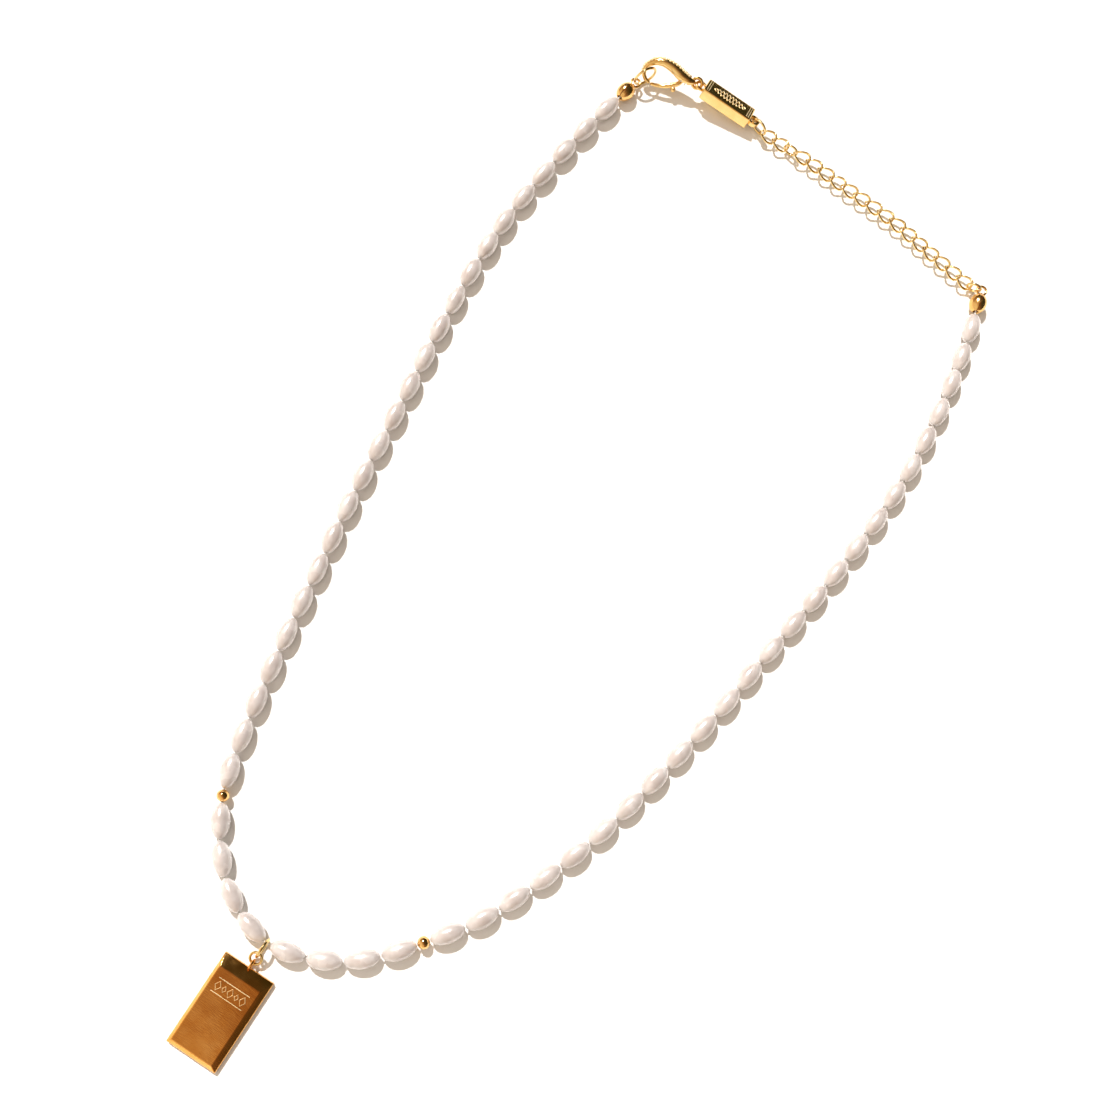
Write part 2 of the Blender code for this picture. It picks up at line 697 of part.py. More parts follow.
right = Walker(smooth_route(RIGHT_ROUTE))
right_tips = build_front(right, (29, 30, 31, 32), "right", RING_ROOM_RIGHT)
front_pivot = (right_tips[0][1] + right_tips[1][0]) / 2
behind = [(b, a) for a, b in reversed(left_tips)]
thread_through("thread_front_left", behind + right_tips[:1])
thread_through("thread_front_right", right_tips[1:])
lower = build_spans(right, RIGHT_LOWER_PEARLS)
build_runs(lower, 33, 1, 4)
right_pivot = (right.spot + lower[-1][1]) / 2
upper = build_spans(right, RIGHT_UPPER_PEARLS)
build_runs(upper, 49, 1, 3, tail=COVER_GAP + COVER_RADIUS * COVER_STRETCH + 0.6)
right_cover, right_along = build_cover("right", upper)

# The chain is split where the fourth corner of the parallelogram falls
chain_pivot = left_pivot + right_pivot - front_pivot
build_pendant(pendant_spot)
build_clasp()
tag_hole = build_tag()
chain_start, chain_end = build_chain(chain_pivot)
far_side = build_end_rings(tag_hole, chain_start, right_cover, chain_end)

centring = Matrix.Translation(-Vector(OUTLINE_MIDDLE) * MM)
for obj in list(PARTS.objects) + list(CUTTERS.objects):
    obj.matrix_world = centring @ obj.matrix_world
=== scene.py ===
import json
import math
import random

import bmesh
import bpy
import numpy as np
from mathutils import Matrix, Vector


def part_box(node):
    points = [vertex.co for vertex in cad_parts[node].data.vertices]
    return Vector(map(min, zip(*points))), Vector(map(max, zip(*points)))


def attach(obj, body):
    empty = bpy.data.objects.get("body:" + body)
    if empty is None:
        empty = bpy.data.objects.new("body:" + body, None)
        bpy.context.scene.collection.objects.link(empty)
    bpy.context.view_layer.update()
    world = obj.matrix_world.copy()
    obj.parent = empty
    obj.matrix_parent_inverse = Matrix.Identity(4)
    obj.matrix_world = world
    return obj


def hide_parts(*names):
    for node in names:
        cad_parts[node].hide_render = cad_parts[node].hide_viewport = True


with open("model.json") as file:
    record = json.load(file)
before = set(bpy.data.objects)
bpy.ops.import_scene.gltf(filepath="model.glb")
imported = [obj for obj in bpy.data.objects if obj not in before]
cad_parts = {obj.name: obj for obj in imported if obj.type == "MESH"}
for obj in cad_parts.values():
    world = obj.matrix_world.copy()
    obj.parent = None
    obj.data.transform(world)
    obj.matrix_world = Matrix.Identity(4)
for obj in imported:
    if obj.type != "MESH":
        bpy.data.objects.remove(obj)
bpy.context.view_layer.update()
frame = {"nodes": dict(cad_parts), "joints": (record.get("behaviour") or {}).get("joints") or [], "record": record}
nodes = frame["nodes"]
joints = {joint["name"]: joint for joint in frame["joints"]}
MM = 0.001

# ------------------------------------------------------------------ camera
# The necklace is seen from above, a little from the pendant's side, with its
# long way running from the lower left to the upper right of the view.
camera_data = bpy.data.cameras.new("camera")
camera_data.sensor_fit = "HORIZONTAL"
camera_data.sensor_width = 36.0
camera_data.lens = 42.55
camera_data.clip_start = 0.005
camera = bpy.data.objects.new("camera", camera_data)
bpy.context.scene.collection.objects.link(camera)
camera_place = Matrix.Translation(Vector((13.2, -43.7, 218.6)) * MM)
camera_turn = Matrix.Rotation(math.radians(35.48), 4, "Z")
camera_tilt = Matrix.Rotation(math.radians(11.97), 4, "X")
camera_swing = Matrix.Rotation(math.radians(-4.09), 4, "Y")
camera.matrix_world = camera_place @ camera_turn @ camera_tilt @ camera_swing
bpy.context.scene.camera = camera


# ------------------------------------------------------------------- table
# A plain white table top under the necklace, one soft sun-like lamp from the
# clasp's side and a wide fill above. The room is dim and warm, brighter in front.
def deselect():
    for obj in bpy.context.selected_objects:
        obj.select_set(False)


def pick(obj):
    deselect()
    obj.select_set(True)
    bpy.context.view_layer.objects.active = obj


def new_finish(name):
    """A node material with its shader, and Object coordinates to read."""
    material = bpy.data.materials.new(name)
    material.use_nodes = True
    tree = material.node_tree
    shader = tree.nodes["Principled BSDF"]
    coordinates = tree.nodes.new("ShaderNodeTexCoord")
    return material, tree, shader, coordinates.outputs["Object"]


def add_noise(tree, vector, scale, detail=3.0):
    noise = tree.nodes.new("ShaderNodeTexNoise")
    noise.inputs["Scale"].default_value = scale
    noise.inputs["Detail"].default_value = detail
    tree.links.new(vector, noise.inputs["Vector"])
    return noise.outputs["Fac"]


def add_ramp(tree, factor, dark, light, start=0.35, end=0.65):
    ramp = tree.nodes.new("ShaderNodeValToRGB")
    ramp.color_ramp.elements[0].position = start
    ramp.color_ramp.elements[0].color = (*dark, 1.0)
    ramp.color_ramp.elements[1].position = end
    ramp.color_ramp.elements[1].color = (*light, 1.0)
    tree.links.new(factor, ramp.inputs["Fac"])
    return ramp.outputs["Color"]


def add_range(tree, factor, low, high):
    spread = tree.nodes.new("ShaderNodeMapRange")
    spread.inputs["From Min"].default_value = 0.3
    spread.inputs["From Max"].default_value = 0.7
    spread.inputs["To Min"].default_value = low
    spread.inputs["To Max"].default_value = high
    tree.links.new(factor, spread.inputs["Value"])
    return spread.outputs["Result"]


def add_bump(tree, shader, height, depth, strength=1.0):
    bump = tree.nodes.new("ShaderNodeBump")
    bump.inputs["Strength"].default_value = strength
    bump.inputs["Distance"].default_value = depth * MM
    tree.links.new(height, bump.inputs["Height"])
    tree.links.new(bump.outputs["Normal"], shader.inputs["Normal"])


bpy.context.scene.view_settings.view_transform = "Standard"
deselect()
bpy.ops.mesh.primitive_plane_add(size=3.0, location=(0.0, 0.0, -0.00005))
table = bpy.context.active_object
table.name = "table_top"
white, white_tree, white_shader, white_place = new_finish("white table")
white_patches = add_noise(white_tree, white_place, 9.0)
white_colour = add_ramp(white_tree, white_patches, (0.86, 0.855, 0.85), (0.9, 0.9, 0.9))
white_tree.links.new(white_colour, white_shader.inputs["Base Color"])
white_shader.inputs["Roughness"].default_value = 0.75
white_shader.inputs["Specular IOR Level"].default_value = 0.1
table.data.materials.append(white)

SUN_TRAVEL = Vector((0.52, -0.33, -0.79))
sun_data = bpy.data.lights.new("sun", "SUN")
sun_data.energy = 4.2
sun_data.angle = math.radians(2.5)
sun_data.color = (1.0, 0.985, 0.96)
sun = bpy.data.objects.new("sun", sun_data)
sun.matrix_world = SUN_TRAVEL.to_track_quat("-Z", "Y").to_matrix().to_4x4()
bpy.context.scene.collection.objects.link(sun)

fill_data = bpy.data.lights.new("fill", "AREA")
fill_data.size = 1.6
fill_data.energy = 4.6
fill_data.color = (1.0, 0.93, 0.86)
fill = bpy.data.objects.new("fill", fill_data)
fill.location = (0.0, 0.0, 1.0)
fill.visible_glossy = False
bpy.context.scene.collection.objects.link(fill)

room = bpy.data.worlds.new("room")
bpy.context.scene.world = room
room.use_nodes = True
room_tree = room.node_tree
room_light = room_tree.nodes["Background"]
room_place = room_tree.nodes.new("ShaderNodeTexCoord").outputs["Generated"]
room_lean = room_tree.nodes.new("ShaderNodeVectorMath")
room_lean.operation = "DOT_PRODUCT"
room_lean.inputs[1].default_value = (0.22, 0.45, 0.0)
room_tree.links.new(room_place, room_lean.inputs[0])
room_patches = add_noise(room_tree, room_place, 2.6, 2.0)
room_share = room_tree.nodes.new("ShaderNodeMath")
room_share.operation = "MULTIPLY_ADD"
room_share.inputs[1].default_value = 0.5
room_tree.links.new(room_patches, room_share.inputs[0])
room_middle = room_tree.nodes.new("ShaderNodeMath")
room_middle.inputs[1].default_value = 0.2
room_tree.links.new(room_lean.outputs["Value"], room_middle.inputs[0])
room_tree.links.new(room_middle.outputs["Value"], room_share.inputs[2])
room_ramp = room_tree.nodes.new("ShaderNodeValToRGB")
room_stops = (
    (0.0, (1.0, 0.93, 0.82)), (0.18, (0.85, 0.7, 0.5)), (0.3, (0.42, 0.25, 0.14)),
    (0.42, (0.28, 0.15, 0.08)), (0.55, (0.09, 0.065, 0.035)), (0.8, (0.04, 0.04, 0.02)),
)
for number, (spot, tone) in enumerate(room_stops):
    stop = room_ramp.color_ramp.elements[number] if number < 2 else room_ramp.color_ramp.elements.new(spot)
    stop.position = spot
    stop.color = (*tone, 1.0)
room_tree.links.new(room_share.outputs["Value"], room_ramp.inputs["Fac"])
room_colour = room_ramp.outputs["Color"]
room_tree.links.new(room_colour, room_light.inputs["Color"])
room_light.inputs["Strength"].default_value = 1.0


# ------------------------------------------------------------------ pearls
# Rice-shaped pearls, longer than wide, drilled end to end: a glossy nacre
# coat with a soft sheen, warm pink-grey in its depth. No two quite match.
PEARL_PITCH = 6.0
PEARL_LENGTH = 5.8
PEARL_RADIUS = 1.6
PEARL_BORE = 0.3
AXIS_HEIGHT = 1.6
SHELL_SHOULDER = 0.45


def place_mesh(obj, matrix):
    """Puts a piece's place into its mesh, so the object stays at the origin."""
    obj.data.transform(matrix)
    obj.matrix_world = Matrix.Identity(4)
    obj.data.update()


def along_z(point, direction, roll=0.0):
    turn = Vector(direction).to_track_quat("Z", "Y").to_matrix().to_4x4()
    return Matrix.Translation(point) @ turn @ Matrix.Rotation(roll, 4, "Z")


def copy_piece(master, name):
    obj = bpy.data.objects.new(name, master.data.copy())
    obj.data.name = name
    bpy.context.scene.collection.objects.link(obj)
    return obj


def smooth(obj, angle=40.0):
    pick(obj)
    bpy.ops.object.shade_smooth_by_angle(angle=math.radians(angle))


def drilled_form(name, length, radius, bore, segments, rings, fullness):
    """A ball stretched along Z, its poles opened and joined by a bore."""
    deselect()
    bpy.ops.mesh.primitive_uv_sphere_add(segments=segments, ring_count=rings, radius=1.0)
    obj = bpy.context.active_object
    obj.name = name
    mesh = obj.data
    for vertex in mesh.vertices:
        height = max(-1.0, min(1.0, vertex.co.z))
        ring = math.hypot(vertex.co.x, vertex.co.y)
        wide = (1.0 - abs(height) ** fullness) ** 0.5 if abs(height) < 0.999 else 0.0
        share = radius * MM * wide / ring if ring > 1e-6 else 0.0
        vertex.co.x *= share
        vertex.co.y *= share
        vertex.co.z = height * length / 2 * MM
    pick(obj)
    bpy.ops.object.mode_set(mode="EDIT")
    bpy.ops.mesh.select_mode(type="VERT")
    bpy.ops.mesh.select_all(action="DESELECT")
    shell = bmesh.from_edit_mesh(mesh)
    for vertex in shell.verts:
        vertex.select = math.hypot(vertex.co.x, vertex.co.y) < 1e-7
    shell.select_flush(True)
    bmesh.update_edit_mesh(mesh)
    bpy.ops.mesh.delete(type="VERT")
    shell = bmesh.from_edit_mesh(mesh)
    for edge in shell.edges:
        edge.select = edge.is_boundary
    shell.select_flush(False)
    for vertex in shell.verts:
        if vertex.is_boundary:
            ring = math.hypot(vertex.co.x, vertex.co.y)
            vertex.co.x *= bore * MM / ring
            vertex.co.y *= bore * MM / ring
    bmesh.update_edit_mesh(mesh)
    bpy.ops.mesh.select_mode(type="EDGE")
    bpy.ops.mesh.bridge_edge_loops()
    bpy.ops.mesh.select_all(action="SELECT")
    bpy.ops.mesh.normals_make_consistent(inside=False)
    bpy.ops.object.mode_set(mode="OBJECT")
    smooth(obj)
    return obj


nacre, nacre_tree, nacre_shader, nacre_place = new_finish("nacre")
nacre_clouds = add_noise(nacre_tree, nacre_place, 420.0, 2.0)
nacre_colour = add_ramp(nacre_tree, nacre_clouds, (0.52, 0.465, 0.45), (0.64, 0.595, 0.585))
nacre_tree.links.new(nacre_colour, nacre_shader.inputs["Base Color"])
nacre_gloss = add_range(nacre_tree, nacre_clouds, 0.2, 0.3)
nacre_tree.links.new(nacre_gloss, nacre_shader.inputs["Roughness"])
nacre_skin = add_noise(nacre_tree, nacre_place, 2600.0, 2.0)
add_bump(nacre_tree, nacre_shader, nacre_skin, 0.004, 0.2)
nacre_shader.inputs["IOR"].default_value = 1.6
nacre_shader.inputs["Subsurface Weight"].default_value = 0.6
nacre_shader.inputs["Subsurface Radius"].default_value = (1.0, 0.9, 0.85)
nacre_shader.inputs["Subsurface Scale"].default_value = 0.0016
nacre_shader.inputs["Coat Weight"].default_value = 1.0
nacre_shader.inputs["Coat Roughness"].default_value = 0.26
nacre_shader.inputs["Coat IOR"].default_value = 2.0
nacre_shader.inputs["Sheen Weight"].default_value = 1.0
nacre_shader.inputs["Sheen Roughness"].default_value = 0.35
nacre_shader.inputs["Sheen Tint"].default_value = (1.0, 0.95, 0.93, 1.0)


def run_spots(node, count):
    """Middle and direction of each pearl of a run, from the widest parts."""
    points = np.array([vertex.co for vertex in nodes[node].data.vertices])
    flat = points[:, :2]
    spread = flat - flat.mean(axis=0)
    way = np.linalg.svd(spread, full_matrices=False)[2][0]
    way = way if way[1] > 0 else -way
    reach = flat @ way
    order = ((reach - reach.min()) / (PEARL_PITCH * MM)).astype(int)
    wide = np.abs(points[:, 2] - AXIS_HEIGHT * MM) > SHELL_SHOULDER * MM
    spots = []
    for number in range(count):
        part = flat[(order == number) & wide]
        middle = part.mean(axis=0)
        axis = np.linalg.svd(part - middle, full_matrices=False)[2][0]
        axis = axis if axis @ way > 0 else -axis
        centre = Vector((middle[0], middle[1], AXIS_HEIGHT * MM))
        spots.append((centre, Vector((axis[0], axis[1], 0.0))))
    return spots


pearl_places = {}
pearl_nodes = {}
pearl_bodies = {}
for body, members in frame["record"]["behaviour"]["bodies"].items():
    for node in members:
        if node.startswith("pearls_"):
            first, last = int(node[7:9]), int(node[-2:])
            numbers = list(range(first, last + 1))
            if body.endswith("_left"):
                numbers.reverse()
            for number, spot in zip(numbers, run_spots(node, len(numbers))):
                pearl_places[number] = spot
                pearl_nodes[number] = node
                pearl_bodies[number] = body
        elif node.startswith("pearl_"):
            number = int(node[-2:])
            spin = joints["%s_spin" % node]
            pearl_places[number] = (Vector(spin["pos_m"]), Vector(spin["axis"]))
            pearl_nodes[number] = node
            pearl_bodies[number] = body

pearl_form = drilled_form("pearl_form", PEARL_LENGTH, PEARL_RADIUS, PEARL_BORE, 32, 22, 2.0)
pearl_form.data.materials.append(nacre)
wobble = random.Random(57)
for number in sorted(pearl_places):
    centre, along = pearl_places[number]
    pearl = copy_piece(pearl_form, "rice_pearl_%02d" % number)
    widths = [1.0 - wobble.uniform(0.0, 0.045) for _ in range(2)]
    lean = wobble.uniform(-0.035, 0.035)
    for vertex in pearl.data.vertices:
        share = vertex.co.z / (PEARL_LENGTH / 2 * MM)
        fuller = 1.0 + lean * share * (1.0 - share * share)
        vertex.co.x *= widths[0] * fuller
        vertex.co.y *= widths[1] * fuller
    place_mesh(pearl, along_z(centre, along, wobble.uniform(0.0, math.pi)))
    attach(pearl, pearl_bodies[number])
    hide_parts(pearl_nodes[number])
bpy.data.objects.remove(pearl_form)

# -------------------------------------------------------------- gold beads
# Two small hollow beads of polished gold plate that set off the eight front
# pearls, one on each side. They are strung on the same thread.
GOLD_BEAD_RADIUS = 1.05
GOLD_BEAD_BORE = 0.32
GOLD_BEAD_FLATS = 0.1


def gold_finish(name, dark, light, gloss=(0.06, 0.16), grain=0.008):
    """Polished plate: patchy tone, patchy gloss and fine wiping marks."""
    material, tree, shader, place = new_finish(name)
    patches = add_noise(tree, place, 350.0, 3.0)
    tree.links.new(add_ramp(tree, patches, dark, light), shader.inputs["Base Color"])
    wear = add_noise(tree, place, 900.0, 4.0)
    tree.links.new(add_range(tree, wear, *gloss), shader.inputs["Roughness"])
    stretch = tree.nodes.new("ShaderNodeMapping")
    stretch.inputs["Rotation"].default_value = (0.3, 0.2, 0.6)
    stretch.inputs["Scale"].default_value = (1.0, 9.0, 3.0)
    tree.links.new(place, stretch.inputs["Vector"])
    marks = add_noise(tree, stretch.outputs["Vector"], 900.0, 2.0)
    add_bump(tree, shader, marks, grain, 0.3)
    shader.inputs["Metallic"].default_value = 1.0
    return material


plate = gold_finish("gold plate", (0.88, 0.5, 0.16), (0.96, 0.6, 0.24))

bead_form = drilled_form(
    "bead_form", 2 * GOLD_BEAD_RADIUS - GOLD_BEAD_FLATS, GOLD_BEAD_RADIUS, GOLD_BEAD_BORE, 32, 20, 2.0,
)
bead_form.data.materials.append(plate)
for side in ("left", "right"):
    node = "gold_bead_" + side
    spin = joints[node + "_spin"]
    bead = copy_piece(bead_form, "polished_bead_" + side)
    place_mesh(bead, along_z(Vector(spin["pos_m"]), spin["axis"]))
    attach(bead, node)
    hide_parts(node)
bpy.data.objects.remove(bead_form)

# ------------------------------------------------------------------ thread
# Fine off-white nylon thread of two twisted plies, run through every pearl
# and bead. It shows only where two neighbours meet and under the bail ring.
THREAD_RADIUS = 0.15

fibre, fibre_tree, fibre_shader, fibre_place = new_finish("nylon thread")
fibre_twist = add_noise(fibre_tree, fibre_place, 5200.0, 2.0)
fibre_colour = add_ramp(fibre_tree, fibre_twist, (0.7, 0.68, 0.64), (0.9, 0.89, 0.86))
fibre_tree.links.new(fibre_colour, fibre_shader.inputs["Base Color"])
add_bump(fibre_tree, fibre_shader, fibre_twist, 0.04, 0.8)
fibre_shader.inputs["Roughness"].default_value = 0.6
fibre_shader.inputs["Sheen Weight"].default_value = 0.3


def round_tube(name, points, radius, closed=False, sides=3, radii=None):
    """A wire or thread: a curve with a round section, made into a mesh."""
    data = bpy.data.curves.new(name, "CURVE")
    data.dimensions = "3D"
    data.bevel_depth = radius * MM
    data.bevel_resolution = sides
    data.use_fill_caps = not closed
    spline = data.splines.new("POLY")
    spline.points.add(len(points) - 1)
    for number, (knot, point) in enumerate(zip(spline.points, points)):
        knot.co = (*point, 1.0)
        if radii:
            knot.radius = radii[number]
    spline.use_cyclic_u = closed
    obj = bpy.data.objects.new(name, data)
    bpy.context.scene.collection.objects.link(obj)
    pick(obj)
    bpy.ops.object.convert(target="MESH")
    obj = bpy.context.active_object
    bpy.ops.object.mode_set(mode="EDIT")
    bpy.ops.mesh.select_all(action="SELECT")
    bpy.ops.mesh.remove_doubles(threshold=1e-7)
    bpy.ops.mesh.normals_make_consistent(inside=False)
    bpy.ops.object.mode_set(mode="OBJECT")
    smooth(obj)
    return obj


def tips(number):
    centre, along = pearl_places[number]
    half = along.normalized() * (PEARL_LENGTH / 2 + 0.02) * MM
    first, last = centre - half, centre + half
    return [first, last]


def bead_tips(side):
    spin = joints["gold_bead_%s_spin" % side]
    half = Vector(spin["axis"]) * GOLD_BEAD_RADIUS * MM
    return [Vector(spin["pos_m"]) - half, Vector(spin["pos_m"]) + half]


def string_up(name, beads, body, replaced):
    """Thread through a list of beads, each entered at its nearer end."""
    route = []
    for ends in beads:
        if route and (ends[1] - route[-1]).length < (ends[0] - route[-1]).length:
            ends = [ends[1], ends[0]]
        route.extend(ends)
    piece = round_tube(name, route, THREAD_RADIUS)
    piece.data.materials.append(fibre)
    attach(piece, body)
    for node in replaced:
        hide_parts(node)


def crimp_middle(side):
    low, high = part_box("crimp_bead_" + side)
    return (low + high) / 2


lower_left = [list(reversed(tips(17)))] + [tips(number) for number in range(18, 25)]
front_left = [bead_tips("left")] + [tips(number) for number in range(25, 30)]
string_up("thread_lower_left", lower_left + front_left, "strand_lower_left", ["thread_front_left"])
lower_right = [tips(30), tips(31), tips(32), bead_tips("right")]
lower_right += [tips(number) for number in range(33, 49)]
string_up("thread_lower_right", lower_right, "strand_lower_right", ["thread_front_right"])
upper_left = [tips(number) for number in range(16, 0, -1)]
left_end = crimp_middle("left")
left_way = (left_end - pearl_places[1][0]).normalized()
upper_left.append([left_end, left_end + left_way * MM])
string_up("thread_upper_left", upper_left, "strand_upper_left", [])
upper_right = [tips(number) for number in range(49, 58)]
right_end = crimp_middle("right")
right_way = (right_end - pearl_places[57][0]).normalized()
upper_right.append([right_end, right_end + right_way * MM])
string_up("thread_upper_right", upper_right, "strand_upper_right", [])

# ------------------------------------------------------------ crimp covers
# A thin plated shell folded over the crimp bead at each end of the thread,
# its two lips meeting in a seam, with a soldered loop on top for the ring.
COVER_RADIUS = 1.55
COVER_STRETCH = 1.25
COVER_WALL = 0.22
COVER_MOUTH = 0.45
LOOP_RADIUS = 0.85
LOOP_WIRE = 0.44
SEAM_HALF = 0.09

dark_plate = gold_finish("folded gold plate", (0.8, 0.47, 0.15), (0.93, 0.6, 0.24), (0.1, 0.24), 0.015)


def wire_ring(name, radius, wire, seam=0.0, around=56, sides=14):
    """A round wire ring about Z, sawn through at +X when seam is given."""
    deselect()
    bpy.ops.mesh.primitive_torus_add(
        major_radius=radius * MM, minor_radius=wire / 2 * MM,
        major_segments=around, minor_segments=sides,
    )
    ring = bpy.context.active_object
    ring.name = name
    if seam:
        mesh = ring.data
        bpy.ops.object.mode_set(mode="EDIT")
        bpy.ops.mesh.select_mode(type="FACE")
        bpy.ops.mesh.select_all(action="DESELECT")
        shell = bmesh.from_edit_mesh(mesh)
        step = 2 * math.pi / around
        for face in shell.faces:
            middle = face.calc_center_median()
            face.select = abs(math.atan2(middle.y, middle.x) - step / 2) < step * 0.4
        bmesh.update_edit_mesh(mesh)
        bpy.ops.mesh.delete(type="FACE")
        shell = bmesh.from_edit_mesh(mesh)
        for vertex in shell.verts:
            if vertex.is_boundary:
                angle = math.atan2(vertex.co.y, vertex.co.x)
                turn = (step - seam) / 2 if angle < step / 2 else -(step - seam) / 2
                vertex.co = Matrix.Rotation(turn, 3, "Z") @ vertex.co
        bmesh.update_edit_mesh(mesh)
        bpy.ops.mesh.select_mode(type="EDGE")
        bpy.ops.mesh.select_all(action="DESELECT")
        shell = bmesh.from_edit_mesh(mesh)
        for edge in shell.edges:
            edge.select = edge.is_boundary
        bmesh.update_edit_mesh(mesh)
        bpy.ops.mesh.edge_face_add()
        bpy.ops.object.mode_set(mode="OBJECT")
    smooth(ring)
    return ring


def join_meshes(name, pieces):
    deselect()
    for piece in pieces:
        piece.select_set(True)
    bpy.context.view_layer.objects.active = pieces[0]
    bpy.ops.object.join()
    joined = bpy.context.active_object
    joined.name = name
    joined.data.name = name
    return joined


def folded_cover(side, middle, way):
    deselect()
    bpy.ops.mesh.primitive_uv_sphere_add(segments=40, ring_count=24, radius=COVER_RADIUS * MM)
    cover = bpy.context.active_object
    mesh = cover.data
    bpy.ops.object.mode_set(mode="EDIT")
    bpy.ops.mesh.select_mode(type="VERT")
    bpy.ops.mesh.select_all(action="DESELECT")
    shell = bmesh.from_edit_mesh(mesh)
    for vertex in shell.verts:
        ring = math.hypot(vertex.co.x, vertex.co.y)
        low = vertex.co.z < 0 and ring < COVER_MOUTH * MM
        slit = vertex.co.x > 0 and abs(vertex.co.y) < 1e-6 and vertex.co.z < 0.9 * MM
        vertex.select = low or (slit and ring > 0)
    shell.select_flush(True)
    bmesh.update_edit_mesh(mesh)
    bpy.ops.mesh.delete(type="VERT")
    shell = bmesh.from_edit_mesh(mesh)
    for vertex in shell.verts:
        if vertex.is_boundary and vertex.co.x > 0 and abs(vertex.co.y) < 0.3 * MM:
            vertex.co.y = math.copysign(SEAM_HALF * MM, vertex.co.y)
            vertex.co.x += 0.06 * MM
    bmesh.update_edit_mesh(mesh)
    bpy.ops.mesh.select_all(action="SELECT")
    bpy.ops.transform.resize(value=(1.0, 1.0, COVER_STRETCH), center_override=(0.0, 0.0, 0.0))
    bpy.ops.object.mode_set(mode="OBJECT")
    wall = cover.modifiers.new("Wall", "SOLIDIFY")
    wall.thickness = COVER_WALL * MM
    wall.offset = -1.0
    bpy.ops.object.modifier_apply(modifier=wall.name)
    lips = cover.modifiers.new("Lips", "BEVEL")
    lips.width = 0.05 * MM
    lips.segments = 2
    lips.limit_method = "ANGLE"
    bpy.ops.object.modifier_apply(modifier=lips.name)
    smooth(cover, 50.0)
    loop = wire_ring("loop", LOOP_RADIUS, LOOP_WIRE)
    reach = COVER_RADIUS * COVER_STRETCH + LOOP_RADIUS - 0.15
    place_mesh(loop, Matrix.Translation((0.0, 0.0, reach * MM)) @ Matrix.Rotation(math.pi / 2, 4, "Y"))
    neck = wire_ring("neck", 0.3, 0.26, around=24, sides=10)
    place_mesh(neck, Matrix.Translation((0.0, 0.0, COVER_RADIUS * COVER_STRETCH * MM)))
    cover = join_meshes("folded_cover_" + side, [cover, loop, neck])
    upright = way.cross(Vector((0.0, 0.0, 1.0)))
    base = Matrix((Vector((0.0, 0.0, 1.0)), upright * -1.0, way)).transposed().to_4x4()
    place_mesh(cover, Matrix.Translation(middle) @ base)
    cover.data.materials.append(dark_plate)
    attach(cover, "strand_upper_" + side)
    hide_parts("crimp_cover_" + side)


folded_cover("left", left_end, left_way)
folded_cover("right", right_end, right_way)

# ------------------------------------------------------------- crimp beads
# A short soft metal tube squeezed flat on the thread inside each cover, so
# the thread can't slip out. It keeps two dents from the pliers.
CRIMP_OUTER = 0.6
CRIMP_LENGTH = 1.1

for side, middle, way in (("left", left_end, left_way), ("right", right_end, right_way)):
    crimp = drilled_form("squeezed_crimp_" + side, CRIMP_LENGTH, CRIMP_OUTER, 0.25, 20, 12, 8.0)
    for vertex in crimp.data.vertices:
        dent = math.exp(-((vertex.co.z / (0.22 * MM)) ** 2))
        if math.hypot(vertex.co.x, vertex.co.y) > 0.3 * MM:
            vertex.co.x *= 1.0 - 0.25 * dent
    place_mesh(crimp, along_z(middle, way))
    crimp.data.materials.append(plate)
    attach(crimp, "strand_upper_" + side)
    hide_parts("crimp_bead_" + side)

# -------------------------------------------------------------- jump rings
# Round plated wire rings, each bent shut with its saw cut just showing. The
# bail ring is the heaviest and hangs on the thread between pearls 28 and 29.
SEAM_ANGLE = math.radians(2.2)
SMALL_RING_DIP = math.radians(20.0)

wire_plate = gold_finish("gold wire", (0.82, 0.58, 0.23), (0.92, 0.7, 0.34), (0.08, 0.18))


def node_middle(node):
    low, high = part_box(node)
    return (low + high) / 2


def standing(direction):
    """The normal of a ring that stands upright along a direction."""
    return Vector(direction).cross(Vector((0.0, 0.0, 1.0))).normalized()


ring_kinds = (
    ("bail_ring", "bail_ring", 1.52, 0.55, Vector((1.0, 0.0, 0.0)), 215.0),
    ("small_ring", "small_ring", 0.98, 0.45,
     Vector((0.0, -math.sin(SMALL_RING_DIP), math.cos(SMALL_RING_DIP))), 160.0),
    ("clasp_ring", "clasp_ring", 2.15, 0.5, standing(joints["clasp_ring_roll"]["axis"]), 60.0),
    ("tag_ring", "tag_ring", 1.6, 0.5, standing(joints["tag_ring_roll"]["axis"]), 80.0),
    ("chain_ring_03", "chain_ring_03", 1.28, 0.44, standing(joints["chain_ring_03_roll"]["axis"]), 40.0),
    ("end_ring", "end_ring", 1.22, 0.5, standing(joints["end_ring_roll"]["axis"]), 100.0),
)
for node, body, radius, wire, normal, seam_turn in ring_kinds:
    ring = wire_ring("round_" + node, radius, wire, SEAM_ANGLE)
    place_mesh(ring, along_z(node_middle(node), normal, math.radians(seam_turn)))
    ring.data.materials.append(wire_plate)
    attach(ring, body)
    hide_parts(node)

# ------------------------------------------------------------- chain links
# Curb links of the extender: ovals of round wire, each soldered shut and
# given a quarter twist so that the chain lies flat on the skin.
LINK_HALF_LENGTH = 1.63
LINK_HALF_WIDTH = 1.1
LINK_WIRE = 0.44
LINK_TWIST = math.radians(90.0)

